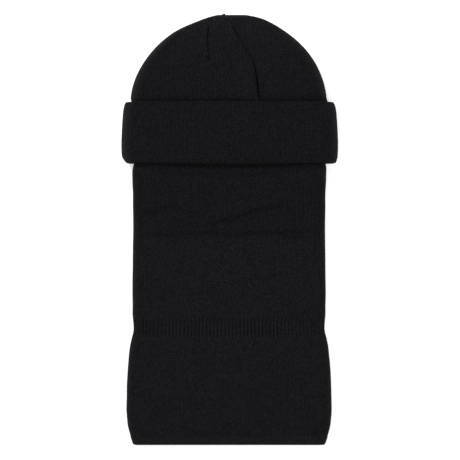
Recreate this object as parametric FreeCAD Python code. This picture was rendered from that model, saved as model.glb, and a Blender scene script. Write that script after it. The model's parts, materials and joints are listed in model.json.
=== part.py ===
import FreeCAD, Part
import os

# A knitted balaclava lying flat on its back: a hat with a turned-up cuff, and a face and neck tube
# that is linked inside the hat at the back and sides. X runs across it, +Y points from the hem to
# the crown, +Z points up out of its front. The origin is on the surface it lies on, under its middle.

# Driving dimensions, mm. "Up" is always the distance above the hem, measured along Y.
tube_width = 208.0
tube_depth = 15.2
bib_length = 114.0
band_height = 22.5
neck_length = 91.5
mask_length = 74.0
cuff_height = 66.0
crown_height = 93.5
knit = 2.2
hem_height = 9.0
welt_height = 7.0
edge_height = 5.6
strip_length = 14.0
mask_rise = 10.0
attach_rise = 43.0
cuff_drop = 45.0

# How much wider or narrower than the tube the other parts are
bib_flare = 13.0
hem_draw = 1.5
hat_ease = 3.0
cuff_puff = 10.0

# Named clearances
body_gap = 0.5
fold_gap = 0.4
eye_gap = 6.0
head_gap = 4.5
side_gap = 4.2

# Sizes worked out from them
hem_width = tube_width - hem_draw
bib_width = tube_width + bib_flare
hat_width = tube_width + hat_ease
cuff_width = hat_width + 2 * cuff_puff
cuff_knit = knit + 0.5
band_knit = knit + 0.3
band_low = bib_length
band_high = band_low + band_height
crease = band_high + neck_length
strip_low = crease - strip_length
cuff_low = crease + mask_length
cuff_high = cuff_low + cuff_height
total_length = cuff_high + crown_height
hat_low = cuff_low + 1.0
crown_low = cuff_high - 2.0
crown_lift = cuff_high + 2.0
mask_top = cuff_low + mask_rise
attach = cuff_low + attach_rise

# Levels through the stack of layers under the cuff, from the surface up
hat_under = cuff_knit + body_gap
nape_under = hat_under + knit + 0.2
mask_under = nape_under + knit + head_gap
mask_over = mask_under + knit
hat_over = mask_over + eye_gap + knit
cuff_over = hat_over + body_gap + cuff_knit + 0.3


def place(x, up, z):
    return FreeCAD.Vector(x, up - total_length / 2, z)


def runs(*points):
    """A value that changes in straight runs between (up, value) points."""
    def value(up):
        for (low, a), (high, b) in zip(points, points[1:]):
            if low - 1e-6 <= up <= high + 1e-6:
                return a + (b - a) * (up - low) / (high - low)
        raise ValueError("no value at %.2f" % up)
    value.stations = [up for up, _ in points]
    return value


# The tube: half width, underside and top side
hat_start = hat_width / 2 + 3.0
tucked_half = hat_start - knit - side_gap
tube_half = runs(
    (0, hem_width / 2), (hem_height, hem_width / 2 + 1.6), (38, bib_width / 2),
    (bib_length - 40, bib_width / 2 - 0.4), (bib_length - 16, tube_width / 2 + 3.2),
    (band_low, tube_width / 2 + 0.5), (band_low + 12, tube_width / 2 - 1.0),
    (band_high, tube_width / 2 - 0.2), (crease, tube_width / 2 - 0.5), (cuff_low - 6, tube_width / 2),
    (hat_low, tucked_half - 0.6), (mask_top, tucked_half - 3.1), (attach, tucked_half - 3.1),
)
tube_under = runs(
    (0, 0), (crease + 6, 0), (cuff_low - cuff_drop - 1, hat_under - 0.1), (cuff_low, nape_under),
    (attach, nape_under),
)
tube_over = runs(
    (0, tube_depth - 2.8), (hem_height, tube_depth - 2.4), (38, tube_depth - 0.6),
    (bib_length - 16, tube_depth - 0.6), (band_low, tube_depth - 0.9), (band_high, tube_depth - 0.6),
    (strip_low - 16, tube_depth), (crease, tube_depth), (crease + 22, tube_depth + 1.0),
    (crease + 44, tube_depth + 1.0), (cuff_low - 17, mask_over), (attach, mask_over),
)

# The hat: a superellipse outline above the cuff, straight below it
dome_half = hat_width / 2 + 0.4
dome_height = crown_height + 2.0
dome_power = 1.9
dome_cut = 0.9


def dome(up):
    share = (total_length - up + dome_cut) / dome_height
    rest = max(0.0, 1 - share) ** dome_power
    return dome_half * (1 - rest) ** (1 / dome_power)


def down(share):
    """A place on the crown, as a share of its height down from its top."""
    return total_length - share * crown_height


dome_shares = (0.83, 0.75, 0.535, 0.34, 0.215, 0.125, 0.085, 0.04, 0.016, 0)
dome_stations = [crown_low, crown_lift] + [down(share) for share in dome_shares]
hat_half = runs((hat_low, hat_start), *[(up, dome(up)) for up in dome_stations])
hat_floor = runs(
    (hat_low, hat_under), (crown_lift, hat_under), (down(0.83), 0), (down(0.085), 0),
    (down(0.04), 0.5), (down(0.016), 1.0), (total_length, 1.5),
)
hat_top = runs(
    (hat_low, hat_over), (crown_lift, hat_over), (down(0.75), hat_over + 0.5),
    (down(0.535), hat_over - 0.5), (down(0.34), hat_over - 2.5), (down(0.215), hat_over - 5),
    (down(0.125), hat_over - 7.5), (down(0.085), hat_over - 9), (down(0.04), hat_over - 11),
    (down(0.016), hat_over - 13), (total_length, hat_over - 14.5),
)

# The darts that close the crown, as lines from the cuff to the top
dart_low = down(0.535)
dart_high = down(0.125)
left_dart = runs((crown_low, -23), (dart_low, -23), (dart_high, -25), (total_length, -6))
right_pleat = runs((crown_low, 32), (dart_low, 25), (dart_high, 6), (total_length, 2))
back_left_dart = runs((crown_low, -26), (dart_high, -20), (total_length, -6))
back_right_dart = runs((crown_low, 26), (dart_high, 20), (total_length, 6))

# The cuff
cuff_half = runs(
    (cuff_low, cuff_width / 2 - 2.2), (cuff_low + 3, cuff_width / 2),
    (cuff_low + welt_height, cuff_width / 2 + 0.5), (cuff_high - welt_height, cuff_width / 2 - 0.7),
    (cuff_high - 2, cuff_width / 2 - 2), (cuff_high, cuff_width / 2 - 3),
)


def stations(low, high, *profiles):
    """The ends of a stretch and every change of slope inside it."""
    inside = {round(up, 4) for one in profiles for up in one.stations if low + 0.05 < up < high - 0.05}
    return [low] + sorted(inside) + [high]


def loft(wires):
    return Part.makeLoft(wires, True, True)


def polygon(points):
    return Part.makePolygon(points + points[:1])


def plate(ups, left, right, under, over):
    """A flat layer of knit between two edges and two levels, each given as a function of up."""
    return loft([
        polygon([
            place(left(up), up, under(up)), place(right(up), up, under(up)),
            place(right(up), up, over(up)), place(left(up), up, over(up)),
        ])
        for up in ups
    ])


def flat_plate(ups, left, right, under, thickness):
    """A layer of knit that lies flat at one level, with its outline given as for plate."""
    edge = [place(left(up), up, under) for up in ups] + [place(right(up), up, under) for up in reversed(ups)]
    return Part.Face(polygon(edge)).extrude(FreeCAD.Vector(0, 0, thickness))


def block(left, right, low, high, under, over):
    return plate([low, high], lambda up: left, lambda up: right, lambda up: under, lambda up: over)


def radius(up, under, over):
    return (over(up) - under(up)) / 2


def turn(up, side, half, under, over, inset):
    """The arc of a turned side edge, from its top to its bottom, set in from the outside by inset."""
    big = radius(up, under, over)
    middle = under(up) + big
    centre = half(up) - big
    small = big - inset
    return Part.Arc(
        place(side * centre, up, middle + small), place(side * (centre + small), up, middle),
        place(side * centre, up, middle - small),
    ).toShape()


def line(a, b):
    return Part.LineSegment(a, b).toShape()


def side_edge(ups, side, half, under, over, thickness):
    """The knit turned round one side edge, between the front layer and the back layer."""
    wires = []
    for up in ups:
        outer = turn(up, side, half, under, over, 0)
        inner = turn(up, side, half, under, over, thickness)
        top, bottom = outer.Vertexes[0].Point, outer.Vertexes[-1].Point
        inner_top, inner_bottom = inner.Vertexes[0].Point, inner.Vertexes[-1].Point
        wires.append(Part.Wire(Part.__sortEdges__(
            [outer, line(bottom, inner_bottom), inner, line(inner_top, top)]
        )))
    return loft(wires)


def gore(ups, side, front, back):
    """A side gore of the crown, from its front dart round the side edge to its back dart."""
    wires = []
    for up in ups:
        outer = turn(up, side, hat_half, hat_floor, hat_top, 0)
        inner = turn(up, side, hat_half, hat_floor, hat_top, knit)
        top, bottom = outer.Vertexes[0].Point, outer.Vertexes[-1].Point
        inner_top, inner_bottom = inner.Vertexes[0].Point, inner.Vertexes[-1].Point
        front_top = place(front(up), up, hat_top(up))
        front_low = place(front(up), up, hat_top(up) - knit)
        back_low = place(back(up), up, hat_floor(up))
        back_top = place(back(up), up, hat_floor(up) + knit)
        wires.append(Part.Wire(Part.__sortEdges__([
            line(front_top, top), outer, line(bottom, back_low), line(back_low, back_top),
            line(back_top, inner_bottom), inner, line(inner_top, front_low), line(front_low, front_top),
        ])))
    return loft(wires)


def oval(up, half, under, over):
    """A flattened ring's outline: straight front and back, round sides."""
    right = turn(up, 1, half, under, over, 0)
    left = turn(up, -1, half, under, over, 0)
    return Part.Wire(Part.__sortEdges__([
        line(left.Vertexes[0].Point, right.Vertexes[0].Point), right,
        line(right.Vertexes[-1].Point, left.Vertexes[-1].Point), left,
    ]))


def ring(ups, half, under, over, thickness):
    """A flattened tube with open ends and a wall of the given thickness."""
    outside = loft([oval(up, half, under, over) for up in ups])
    inside = loft([
        oval(up, lambda u: half(u) - thickness, lambda u: under(u) + thickness, lambda u: over(u) - thickness)
        for up in ups
    ])
    return outside.cut(inside)


def flat_left(half, under, over):
    return lambda up: -(half(up) - radius(up, under, over))


def flat_right(half, under, over):
    return lambda up: half(up) - radius(up, under, over)


def raised(level, amount):
    return lambda up: level(up) + amount


tube_left = flat_left(tube_half, tube_under, tube_over)
tube_right = flat_right(tube_half, tube_under, tube_over)
parts = {}


def tube_section(front, back, left, right, low, high):
    """The four pieces of a stretch of tube that lies flat: two panels and two turned side seams."""
    ups = stations(low, high, tube_half, tube_under, tube_over)
    parts[front] = plate(ups, tube_left, tube_right, raised(tube_over, -knit), tube_over)
    parts[back] = flat_plate(ups, tube_left, tube_right, 0, knit)
    parts[left] = side_edge(ups, -1, tube_half, tube_under, tube_over, knit)
    parts[right] = side_edge(ups, 1, tube_half, tube_under, tube_over, knit)


def make_bib():
    parts["bib_hem"] = ring(
        stations(0, hem_height, tube_half), tube_half, tube_under, tube_over, knit
    )
    tube_section("bib_front_panel", "bib_back_panel", "bib_left_seam", "bib_right_seam", hem_height, band_low)
    pitch = 8.0
    reach = hem_width / 2 - 12
    count = int(2 * reach / pitch)
    ups = [hem_height - 2.0, hem_height - 1.0]
    stitches = []
    for i in range(count + 1):
        x = (i - count / 2) * pitch
        stitches.append(plate(
            ups, lambda up: x - 1.6, lambda up: x + 1.6, tube_over, raised(tube_over, 0.5)
        ))
    parts["hem_stitches"] = Part.makeCompound(stitches)


def make_neck():
    ups = stations(band_low, band_high, tube_half, tube_over)
    parts["rib_neck_band"] = ring(ups, tube_half, tube_under, tube_over, band_knit)
    tube_section(
        "neck_front_panel", "neck_back_panel", "neck_left_seam", "neck_right_seam",
        band_high, strip_low - fold_gap,
    )
    ups = stations(strip_low, crease - fold_gap, tube_half)
    parts["crease_strip"] = ring(ups, tube_half, tube_under, tube_over, knit)


def make_mask():
    horn_width = 14.0
    front_top = mask_top - edge_height - fold_gap
    ups = stations(crease, attach, tube_half, tube_under, tube_over)
    front_ups = stations(crease, front_top, tube_half, tube_under, tube_over)
    panel = plate(front_ups, tube_left, tube_right, raised(tube_over, -knit), tube_over)
    edge_reach = tube_right(mask_top) - horn_width
    horn_ups = stations(front_top, attach, tube_half, tube_under, tube_over)
    for side in (-1, 1):
        inner = lambda up: side * edge_reach
        sides = (inner, tube_right) if side > 0 else (tube_left, inner)
        panel = panel.fuse(plate(horn_ups, *sides, raised(tube_over, -knit), tube_over))
    parts["mask_front_panel"] = panel
    parts["nape_panel"] = plate(ups, tube_left, tube_right, tube_under, raised(tube_under, knit))
    parts["mask_left_seam"] = side_edge(ups, -1, tube_half, tube_under, tube_over, knit)
    parts["mask_right_seam"] = side_edge(ups, 1, tube_half, tube_under, tube_over, knit)
    edge_half = edge_reach - fold_gap
    parts["eye_opening_edge"] = block(
        -edge_half, edge_half, mask_top - edge_height, mask_top, mask_under - 0.2, mask_over + 0.2
    )
    seam_half = tube_right(attach)
    parts["mask_attach_seam"] = block(
        -seam_half, seam_half, attach, attach + 4, nape_under, nape_under + knit + 0.6
    )
    for name, side in (("left_bartack", -1), ("right_bartack", 1)):
        x = side * (edge_reach + 7)
        parts[name] = block(x - 4, x + 4, attach - 5, attach - 2, mask_over, mask_over + 1.2)
    label_width = 24.0
    label_length = 30.0
    label_left = 8.0 - seam_half
    parts["care_label"] = block(
        label_left, label_left + label_width, attach - label_length - 2, attach - 2,
        nape_under + knit, nape_under + knit + 0.8,
    )


def make_hat():
    ups = stations(hat_low, crown_low, hat_half)
    parts["hat_body"] = ring(ups, hat_half, hat_floor, hat_top, knit)
    ups = stations(
        crown_low, total_length, hat_half, hat_floor, hat_top,
        left_dart, right_pleat, back_left_dart, back_right_dart,
    )
    inner_top = raised(hat_top, -knit)
    inner_floor = raised(hat_floor, knit)
    parts["crown_front_gore"] = plate(ups, left_dart, right_pleat, inner_top, hat_top)
    parts["crown_back_gore"] = plate(ups, back_left_dart, back_right_dart, hat_floor, inner_floor)
    parts["crown_left_gore"] = gore(ups, -1, left_dart, back_left_dart)
    parts["crown_right_gore"] = gore(ups, 1, right_pleat, back_right_dart)
    seam_depth = 1.4
    front_seam = (raised(inner_top, -seam_depth), inner_top)
    back_seam = (inner_floor, raised(inner_floor, seam_depth))
    seams = (
        ("front_left_dart_seam", left_dart, dart_low, front_seam),
        ("front_right_dart_seam", right_pleat, crown_low, front_seam),
        ("back_left_dart_seam", back_left_dart, dart_low, back_seam),
        ("back_right_dart_seam", back_right_dart, dart_low, back_seam),
    )
    for name, dart, low, levels in seams:
        seam_ups = [up for up in ups if low - 0.1 <= up <= dart_high + 0.1]
        parts[name] = plate(seam_ups, raised(dart, -1.5), raised(dart, 1.5), *levels)
    tack_ups = [up for up in ups if up > down(0.05)]
    tack_reach = lambda up: hat_half(up) - radius(up, hat_floor, hat_top)
    parts["crown_closing_tack"] = plate(
        tack_ups, lambda up: -tack_reach(up), tack_reach, inner_floor, inner_top
    )


def make_cuff():
    under = lambda up: 0.0
    over = lambda up: cuff_over
    low_joint = cuff_low + welt_height
    high_joint = cuff_high - welt_height
    for name, low, high in (
        ("cuff_fold_roll", cuff_low, low_joint),
        ("cuff_turned_layer", low_joint, high_joint),
        ("cuff_welt", high_joint, cuff_high),
    ):
        parts[name] = ring(stations(low, high, cuff_half), cuff_half, under, over, cuff_knit)


make_bib()
make_neck()
make_mask()
make_hat()
make_cuff()

os.makedirs("parts", exist_ok=True)
for name, shape in parts.items():
    shape.exportStep("parts/%s.step" % name)
    print("%-24s %7.1f cm3  valid %s  solids %d" % (name, shape.Volume / 1000, shape.isValid(), len(shape.Solids)))
print("levels", hat_under, nape_under, mask_under, mask_over, hat_over, cuff_over, "length", total_length)
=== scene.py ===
import bisect
import json
from math import cos, exp, hypot, pi, radians, sin, sqrt
import bmesh
import bpy
from mathutils import Vector, noise
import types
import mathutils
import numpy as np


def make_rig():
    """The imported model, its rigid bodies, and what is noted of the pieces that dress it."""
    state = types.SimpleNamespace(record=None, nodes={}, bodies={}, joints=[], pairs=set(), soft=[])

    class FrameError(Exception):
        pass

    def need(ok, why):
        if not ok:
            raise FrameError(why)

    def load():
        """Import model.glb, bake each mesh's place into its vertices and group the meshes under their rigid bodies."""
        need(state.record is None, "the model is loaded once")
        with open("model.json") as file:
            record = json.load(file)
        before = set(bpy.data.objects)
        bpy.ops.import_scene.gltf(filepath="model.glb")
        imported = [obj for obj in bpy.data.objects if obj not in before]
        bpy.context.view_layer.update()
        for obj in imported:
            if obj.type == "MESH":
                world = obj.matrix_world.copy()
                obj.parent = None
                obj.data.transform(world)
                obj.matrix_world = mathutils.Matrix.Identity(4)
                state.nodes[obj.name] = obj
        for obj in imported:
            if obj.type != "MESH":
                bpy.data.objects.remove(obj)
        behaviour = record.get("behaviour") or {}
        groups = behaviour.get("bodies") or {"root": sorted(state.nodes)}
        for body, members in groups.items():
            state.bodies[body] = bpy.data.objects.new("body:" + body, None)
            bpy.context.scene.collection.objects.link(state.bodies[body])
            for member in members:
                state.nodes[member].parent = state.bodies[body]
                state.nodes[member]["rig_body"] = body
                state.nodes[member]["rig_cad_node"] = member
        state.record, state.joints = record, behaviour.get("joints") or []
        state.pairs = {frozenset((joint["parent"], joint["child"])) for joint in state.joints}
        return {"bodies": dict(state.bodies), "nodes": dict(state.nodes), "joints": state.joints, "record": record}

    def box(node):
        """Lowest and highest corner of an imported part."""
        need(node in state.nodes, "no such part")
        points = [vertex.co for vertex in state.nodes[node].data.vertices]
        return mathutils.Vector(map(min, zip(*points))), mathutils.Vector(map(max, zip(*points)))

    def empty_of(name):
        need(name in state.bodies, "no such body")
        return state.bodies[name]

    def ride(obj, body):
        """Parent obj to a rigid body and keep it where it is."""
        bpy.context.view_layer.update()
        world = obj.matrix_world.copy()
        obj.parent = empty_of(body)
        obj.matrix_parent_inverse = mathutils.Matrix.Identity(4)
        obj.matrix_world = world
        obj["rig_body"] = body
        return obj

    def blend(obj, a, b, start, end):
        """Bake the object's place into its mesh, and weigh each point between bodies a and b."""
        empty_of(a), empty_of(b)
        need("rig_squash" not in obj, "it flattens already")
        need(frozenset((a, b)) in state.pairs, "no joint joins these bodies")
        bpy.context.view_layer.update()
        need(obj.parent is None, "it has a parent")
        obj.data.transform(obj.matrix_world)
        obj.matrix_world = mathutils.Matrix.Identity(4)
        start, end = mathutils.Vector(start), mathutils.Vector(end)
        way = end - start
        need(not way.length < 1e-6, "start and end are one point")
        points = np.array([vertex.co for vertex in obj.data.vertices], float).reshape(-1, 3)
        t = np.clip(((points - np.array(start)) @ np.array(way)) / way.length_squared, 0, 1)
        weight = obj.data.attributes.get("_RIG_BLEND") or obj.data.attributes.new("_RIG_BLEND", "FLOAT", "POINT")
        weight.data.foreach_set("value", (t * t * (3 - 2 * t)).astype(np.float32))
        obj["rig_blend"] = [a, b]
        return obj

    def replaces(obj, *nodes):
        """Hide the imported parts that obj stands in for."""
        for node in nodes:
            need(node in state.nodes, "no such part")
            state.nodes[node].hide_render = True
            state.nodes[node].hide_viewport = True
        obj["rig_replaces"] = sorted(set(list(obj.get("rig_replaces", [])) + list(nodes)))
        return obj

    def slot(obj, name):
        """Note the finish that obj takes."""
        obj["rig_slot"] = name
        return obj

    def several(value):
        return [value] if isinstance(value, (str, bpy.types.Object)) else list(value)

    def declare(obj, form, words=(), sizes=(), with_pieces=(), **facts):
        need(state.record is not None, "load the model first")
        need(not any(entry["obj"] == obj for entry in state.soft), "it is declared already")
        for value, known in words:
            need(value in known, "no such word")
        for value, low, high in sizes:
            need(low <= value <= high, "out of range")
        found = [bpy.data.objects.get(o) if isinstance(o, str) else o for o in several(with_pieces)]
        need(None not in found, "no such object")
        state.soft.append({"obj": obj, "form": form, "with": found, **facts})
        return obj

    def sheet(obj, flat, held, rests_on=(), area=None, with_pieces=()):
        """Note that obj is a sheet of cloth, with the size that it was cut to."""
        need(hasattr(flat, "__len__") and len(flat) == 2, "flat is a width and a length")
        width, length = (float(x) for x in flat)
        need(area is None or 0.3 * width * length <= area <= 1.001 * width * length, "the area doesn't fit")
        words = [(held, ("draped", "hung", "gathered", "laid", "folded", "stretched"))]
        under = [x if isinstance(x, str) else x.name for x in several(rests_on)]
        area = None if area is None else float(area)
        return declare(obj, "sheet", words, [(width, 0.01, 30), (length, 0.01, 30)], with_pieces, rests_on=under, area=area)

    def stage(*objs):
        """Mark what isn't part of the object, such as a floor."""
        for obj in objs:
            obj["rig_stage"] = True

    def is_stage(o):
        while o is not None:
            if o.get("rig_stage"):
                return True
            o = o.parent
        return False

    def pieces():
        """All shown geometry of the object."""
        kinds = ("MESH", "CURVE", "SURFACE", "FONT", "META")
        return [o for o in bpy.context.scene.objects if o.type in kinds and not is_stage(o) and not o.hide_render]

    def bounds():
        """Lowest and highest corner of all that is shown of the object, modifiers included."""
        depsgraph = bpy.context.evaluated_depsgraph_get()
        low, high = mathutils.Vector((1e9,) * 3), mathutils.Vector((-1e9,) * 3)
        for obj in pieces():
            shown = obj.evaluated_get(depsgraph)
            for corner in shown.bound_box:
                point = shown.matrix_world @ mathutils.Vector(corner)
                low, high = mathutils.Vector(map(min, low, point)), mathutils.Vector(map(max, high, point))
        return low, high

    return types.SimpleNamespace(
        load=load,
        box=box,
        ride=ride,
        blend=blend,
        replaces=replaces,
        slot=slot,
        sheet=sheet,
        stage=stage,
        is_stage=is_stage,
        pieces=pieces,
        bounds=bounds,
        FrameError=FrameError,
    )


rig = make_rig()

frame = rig.load()
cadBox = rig.bounds()
print("frame loaded", [round(v, 4) for v in cadBox[0]], [round(v, 4) for v in cadBox[1]])

scene = bpy.context.scene
mm = 0.001
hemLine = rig.box("bib_hem")[0].y  # lengths along the balaclava are measured up from here, in mm


def span(node):
    low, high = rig.box(node)
    return (low.y - hemLine) / mm, (high.y - hemLine) / mm


def reach(node):
    low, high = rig.box(node)
    return max(-low.x, high.x) / mm


def heights(node):
    low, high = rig.box(node)
    return low.z / mm, high.z / mm


def point(x, up, z):
    return Vector((x * mm, hemLine + up * mm, z * mm))


# levels along the balaclava and heights off the surface, read from the frame, in mm
hemTop = span("bib_hem")[1]
bandLow, bandHigh = span("rib_neck_band")
stripLow, crease = span("crease_strip")
cuffLow = span("cuff_fold_roll")[0]
cuffHigh = span("cuff_welt")[1]
hatLow = span("hat_body")[0]
crownLow, crownTop = span("crown_front_gore")
maskTop = span("eye_opening_edge")[1]
attachLow, attachHigh = span("mask_attach_seam")
tubeDepth = heights("neck_front_panel")[1]
hatFloor, hatCeiling = heights("hat_body")
folds = {j["name"]: (j["pos_m"][1] - hemLine) / mm for j in frame["joints"] if j["type"] == "hinge"}


def smoothCurve(points):
    # a value that runs smoothly through (up, value) points and never overshoots them
    places = [p[0] for p in points]
    values = [p[1] for p in points]
    rises = [(b - a) / (q - p) for p, q, a, b in zip(places, places[1:], values, values[1:])]
    slopes = [rises[0]] + [
        0 if a * b <= 0 else 2 * a * b / (a + b) for a, b in zip(rises, rises[1:])
    ] + [rises[-1]]

    def value(at):
        at = min(max(at, places[0]), places[-1])
        i = min(max(bisect.bisect_right(places, at) - 1, 0), len(rises) - 1)
        width = places[i + 1] - places[i]
        t = (at - places[i]) / width
        low = (1 + 2 * t) * (1 - t) ** 2 * values[i] + t * (1 - t) ** 2 * width * slopes[i]
        return low + t * t * (3 - 2 * t) * values[i + 1] + t * t * (t - 1) * width * slopes[i + 1]
    return value


def ease(low, high, at):
    t = min(max((at - low) / (high - low), 0), 1)
    return t * t * (3 - 2 * t)


def hill(distance, width):
    return exp(-(distance / width) ** 2)


def swells(x, up, waves):
    # soft unevenness: each wave is a height, a size and a seed
    return sum(
        height * noise.noise(Vector((x / size, up / size, seed))) for height, size, seed in waves
    )


# the tube of face part, neck and bib: its outline, its depth and how its front lies
tube = {
    "hemDraw": 1.6,  # how far the hem pulls in from its own widest place
    "knit": 2.0,
    "sag": 0.9,  # how far the middle lies below the rolled side edges
    "sagEdge": 14,  # the higher, the closer to the side edge the sag begins
    "spacing": 1.6,
    "waves": [(0.55, 34, 3.1), (0.22, 13, 7.7)],
    "edgeWave": (0.35, 16, 1.3),
    "edgeTurns": 9,
    "backWave": (0.12, 9, 5.5),
}
bibHalf = reach("bib_left_seam")
neckHalf = reach("neck_left_seam")
maskHalf = reach("mask_left_seam")
hemHalf = reach("bib_hem")
tubeHalf = smoothCurve([
    (0, hemHalf - tube["hemDraw"]), (6, hemHalf + 0.4), (13, hemHalf + 2.6), (22, bibHalf - 1.1),
    (39, bibHalf), (73, bibHalf - 0.8), (90, bibHalf - 1.9), (107, neckHalf + 2.6),
    (bandLow, neckHalf + 1.2), (bandLow + 11, neckHalf - 0.8), (bandHigh - 2, neckHalf - 0.2),
    (bandHigh + 6, neckHalf + 0.3), (172, neckHalf + 0.3), (crease, neckHalf - 0.5),
    (258, neckHalf - 0.4), (cuffLow - 8, maskHalf + 0.1), (cuffLow + 2, maskHalf - 1.6),
    (maskTop, maskHalf - 4.6), (attachHigh, maskHalf - 5.4),
])
napeUnder = heights("mask_attach_seam")[0]
tubeUnder = smoothCurve([
    (0, 0), (crease + 6, 0), (cuffLow - 46, hatFloor), (cuffLow, napeUnder), (attachHigh, napeUnder),
])
maskOver = heights("eye_opening_edge")[1] - 0.2
tubeOver = smoothCurve([
    (0, tubeDepth - 3.0), (hemTop, tubeDepth - 2.2), (38, tubeDepth - 0.6),
    (bandLow - 16, tubeDepth - 0.6), (bandLow, tubeDepth - 0.8), (bandHigh, tubeDepth - 0.6),
    (stripLow - 16, tubeDepth), (crease, tubeDepth), (crease + 24, tubeDepth + 1.2),
    (crease + 44, tubeDepth + 2.2), (cuffLow - 12, tubeDepth + 3.9), (cuffLow, tubeDepth + 4.0),
    (maskTop, maskOver + 1.6), (attachHigh, maskOver + 1.0),
])
sideways = smoothCurve([  # how far the outline's middle sits to one side
    (0, -1.0), (200, -1.0), (290, -0.8), (cuffLow, -0.3), (cuffHigh, -0.3), (cuffHigh + 4, -1.5),
    (395, -1.2), (415, -0.5), (438, 0.0), (445, 0.4), (451, 1.9), (457.5, 3.6), (crownTop, 2.0),
])

# the soft creases in the front of the tube: a line, with a ridge above it and a hollow below,
# how wide those are, and how softly one gives way to the other
creases = {
    "right": {
        "line": [(-27, 233), (-10, 240), (5, 244), (20, 249), (36, 254.5), (51, 256.5), (62, 260.5)],
        "ridge": 2.0, "hollow": 1.9, "ridgeWidth": 10, "hollowWidth": 6.5, "soft": 4.0,
    },
    "left": {
        "line": [(-86, 246), (-76, 253), (-64, 256), (-52, 253.5), (-38, 247.5), (-22, 243.5)],
        "ridge": 1.8, "hollow": 2.0, "ridgeWidth": 9, "hollowWidth": 7, "soft": 4.2,
    },
    "across": {
        "line": [(-97, 228.5), (-84, 226.5), (-67, 225), (-49, 226.5), (-32, 227.5), (-17, 229),
                 (-4, 225.5), (17, 226.5), (36, 228), (59, 228), (82, 229.5), (98, 228)],
        "ridge": 1.4, "hollow": 2.1, "ridgeWidth": 8, "hollowWidth": 5, "soft": 3.4,
    },
    "short": {
        "line": [(64, 238), (72, 244), (80, 247)],
        "ridge": 0.8, "hollow": 0.7, "ridgeWidth": 6, "hollowWidth": 5, "soft": 3.6,
    },
}


def nearLine(x, up, line):
    # distance from a line of points (above it is positive) and how far along it that is, 0 to 1
    best = None
    count = len(line) - 1
    for i, ((ax, ay), (bx, by)) in enumerate(zip(line, line[1:])):
        dx, dy = bx - ax, by - ay
        length = hypot(dx, dy)
        t = min(max(((x - ax) * dx + (up - ay) * dy) / length ** 2, 0), 1)
        distance = hypot(x - ax - t * dx, up - ay - t * dy)
        if best is None or distance < best[0]:
            side = 1 if (up - ay) * dx - (x - ax) * dy >= 0 else -1
            best = (distance, side, (i + t) / count)
    return best[0] * best[1], best[2]


creaseReach = {"ends": 12, "sides": 24, "start": 0.16, "finish": 0.86}


def creaseRelief(x, up):
    total = 0
    for one in creases.values():
        line = one["line"]
        if not line[0][0] - creaseReach["ends"] < x < line[-1][0] + creaseReach["ends"]:
            continue
        away, along = nearLine(x, up, line)
        if abs(away) > creaseReach["sides"]:
            continue
        taper = ease(0, creaseReach["start"], along) * (1 - ease(creaseReach["finish"], 1, along))
        ridge = one["ridge"] * hill(away, one["ridgeWidth"])
        hollow = one["hollow"] * hill(away, one["hollowWidth"])
        total += taper * ((ridge + hollow) * ease(-one["soft"], one["soft"], away) - hollow)
    return total


cuffHollow = {
    "depth": 2.8, "reach": 10.5, "least": 3.5, "halfWidth": 98, "middle": 4,
    "fall": 9, "rise": 6, "riseShare": 0.75, "endShare": 0.4,
}


def hollowUnderCuff(x, up):
    # a shallow valley curves down from the cuff's ends, and the knit rises again behind it
    bend = 1 - min(abs(x - cuffHollow["middle"]) / cuffHollow["halfWidth"], 1) ** 2
    edge = cuffLow - cuffHollow["least"] - cuffHollow["reach"] * bend
    sink = ease(edge - cuffHollow["fall"], edge, up)
    sink *= 1 - cuffHollow["riseShare"] * ease(edge, edge + cuffHollow["rise"], up)
    return -cuffHollow["depth"] * (cuffHollow["endShare"] + (1 - cuffHollow["endShare"]) * bend) * sink


# the short folds that run in from the hem's curled corners
cornerFold = {
    "line": [(91, 8), (95, 14), (101, 21)],
    "depth": 0.9, "width": 2.0, "deepest": 0.4, "spread": 0.5, "top": 34,
}
creasesFrom = crease - 20


def tubeRelief(x, up):
    # how far the front layer stands above its plain level
    across = x / tubeHalf(up)
    level = tube["sag"] * (across ** 2 - 1) * (1 - abs(across) ** tube["sagEdge"])
    level += swells(x, up, tube["waves"])
    if up > creasesFrom:
        level += creaseRelief(x, up) + hollowUnderCuff(x, up)
    if up < cornerFold["top"]:
        for corner in (-1, 1):
            away, along = nearLine(x * corner, up, cornerFold["line"])
            dip = hill(away, cornerFold["width"]) * hill(along - cornerFold["deepest"], cornerFold["spread"])
            level -= cornerFold["depth"] * dip
    return level


def oval(share, half, under, over):
    # a place round a flattened tube, by share of the way round from the middle of its back
    radius = (over - under) / 2
    flat = half - radius
    arc = pi * radius
    run = share * (4 * flat + 2 * arc)
    middle = under + radius
    if run < flat:
        return -run, under
    run -= flat
    if run < arc:
        return -flat - radius * sin(run / radius), middle - radius * cos(run / radius)
    run -= arc
    if run < 2 * flat:
        return run - flat, over
    run -= 2 * flat
    if run < arc:
        return flat + radius * sin(run / radius), middle + radius * cos(run / radius)
    return flat - (run - arc), under


def girth(half, under, over):
    return 4 * (half - (over - under) / 2) + pi * (over - under)


tubeGirth = girth(neckHalf, 0, tubeDepth)
tubeColumns = int(tubeGirth / tube["spacing"])


def tubeSpot(share, up, inset=0.0):
    half, under, over = tubeHalf(up), tubeUnder(up), tubeOver(up)
    wave = swells(share * tube["edgeTurns"], up, [tube["edgeWave"]])
    x, z = oval(share, half - inset + wave, under + inset, over - inset)
    middle = (under + over) / 2
    rise = min(max((z - middle) / max(over - inset - middle, 0.1), 0), 1)
    z += rise ** 3 * tubeRelief(x, up)
    if rise == 0 and inset == 0:
        z += abs(swells(x, up, [tube["backWave"]]))
    return point(x + sideways(up), up, max(z, 0.0))


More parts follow.
